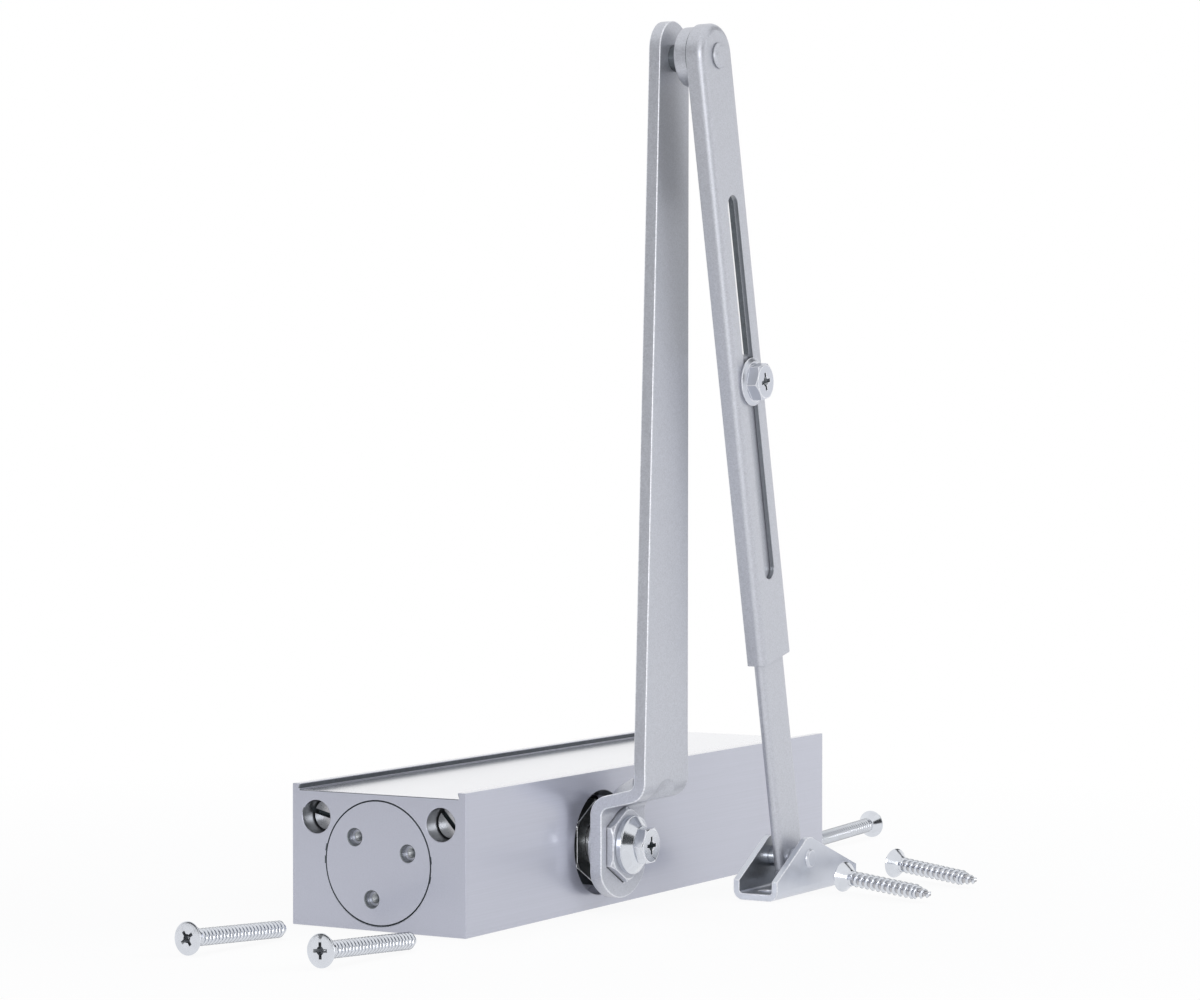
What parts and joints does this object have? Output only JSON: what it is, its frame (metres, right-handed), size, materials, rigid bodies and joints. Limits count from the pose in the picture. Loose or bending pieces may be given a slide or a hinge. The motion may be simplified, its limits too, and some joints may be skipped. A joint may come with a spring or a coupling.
{
  "type": "scissor arm door closer",
  "caption": "Rack and pinion door closer with a rectangular hydraulic body, a cranked main arm, a telescopic slotted forearm and a hinged fixing shoe.",
  "frame": {"origin": "on the body's broad rest face, directly below the pinion axis, halfway across the width", "axes": "+X along the body from the valve end to the spring end, +Y across the body away from the arm, +Z out of the rest face towards the grooved face"},
  "size_m": [0.3354, 0.1384, 0.2583],
  "materials": {
    "body_aluminium": "satin, fine brushed, clear anodised",
    "seal_rubber": "matt",
    "black_nut": "black oxide, satin",
    "inner_steel": "ground steel, oily",
    "spring_steel": "drawn spring wire",
    "bright_zinc": "bright blue zinc plate",
    "arm_silver": "silver metallic paint with fine flake, satin",
    "shoe_steel": "satin zinc plate"
  },
  "bodies": {
    "body": {"housing": "body_aluminium", "end_cap_front": "body_aluminium", "end_cap_rear": "body_aluminium", "cap_ring_front": "seal_rubber", "cap_ring_rear": "seal_rubber", "gland_nut_front": "black_nut", "gland_nut_rear": "black_nut", "bearing_front": "inner_steel", "bearing_rear": "inner_steel", "shaft_seal_front": "seal_rubber", "shaft_seal_rear": "seal_rubber", "outer_spring": "spring_steel", "inner_spring": "spring_steel", "machine_screws": "bright_zinc", "wood_screws": "bright_zinc"},
    "closing_screw": {"closing_valve": "bright_zinc", "closing_valve_ring": "seal_rubber"},
    "latching_screw": {"latching_valve": "bright_zinc", "latching_valve_ring": "seal_rubber"},
    "rack_piston": {"piston": "inner_steel", "piston_seal": "seal_rubber", "check_ball": "bright_zinc", "spring_seat": "inner_steel"},
    "arm": {"pinion": "inner_steel", "hex_insert": "arm_silver", "main_arm": "arm_silver", "cone_washer": "bright_zinc", "arm_bolt": "bright_zinc", "elbow_rivet": "bright_zinc"},
    "forearm": {"elbow_boss": "bright_zinc", "forearm_channel": "arm_silver"},
    "slider": {"forearm_bar": "arm_silver", "clamp_screw": "bright_zinc"},
    "shoe": {"shoe_bracket": "shoe_steel", "shoe_rivet": "bright_zinc", "spacer_bushes": "bright_zinc"}
  },
  "joints": [
    {"name": "pinion_turn", "type": "hinge", "parent": "body", "child": "arm", "pos_m": [0, 0, 0.019], "axis": [0, 1, 0], "range_deg": [0, 180], "stiffness_Nm_per_rad": 2.5, "springref_deg": -137.51},
    {"name": "piston_slide", "type": "slide", "parent": "body", "child": "rack_piston", "axis": [1, 0, 0], "range_m": [0, 0.0283], "deforming": ["outer_spring", "inner_spring"]},
    {"name": "elbow_turn", "type": "hinge", "parent": "arm", "child": "forearm", "pos_m": [0.0043, 0, 0.2475], "axis": [0, 1, 0], "range_deg": [-165, 165]},
    {"name": "forearm_slide", "type": "slide", "parent": "forearm", "child": "slider", "axis": [-0.213, 0, 0.977], "range_m": [-0.056, 0.051]},
    {"name": "shoe_turn", "type": "hinge", "parent": "slider", "child": "shoe", "pos_m": [0.05591, 0, 0.0108], "axis": [0, 1, 0], "range_deg": [-60, 60]},
    {"name": "closing_screw_turn", "type": "hinge", "parent": "body", "child": "closing_screw", "pos_m": [-0.068, -0.0208, 0.0309], "axis": [1, 0, 0], "range_deg": [-180, 180]},
    {"name": "latching_screw_turn", "type": "hinge", "parent": "body", "child": "latching_screw", "pos_m": [-0.068, 0.0208, 0.0309], "axis": [1, 0, 0], "range_deg": [-180, 180]}
  ],
  "couplings": [
    {"joint": "piston_slide", "follows": "pinion_turn", "m_per_rad": 0.009}
  ]
}
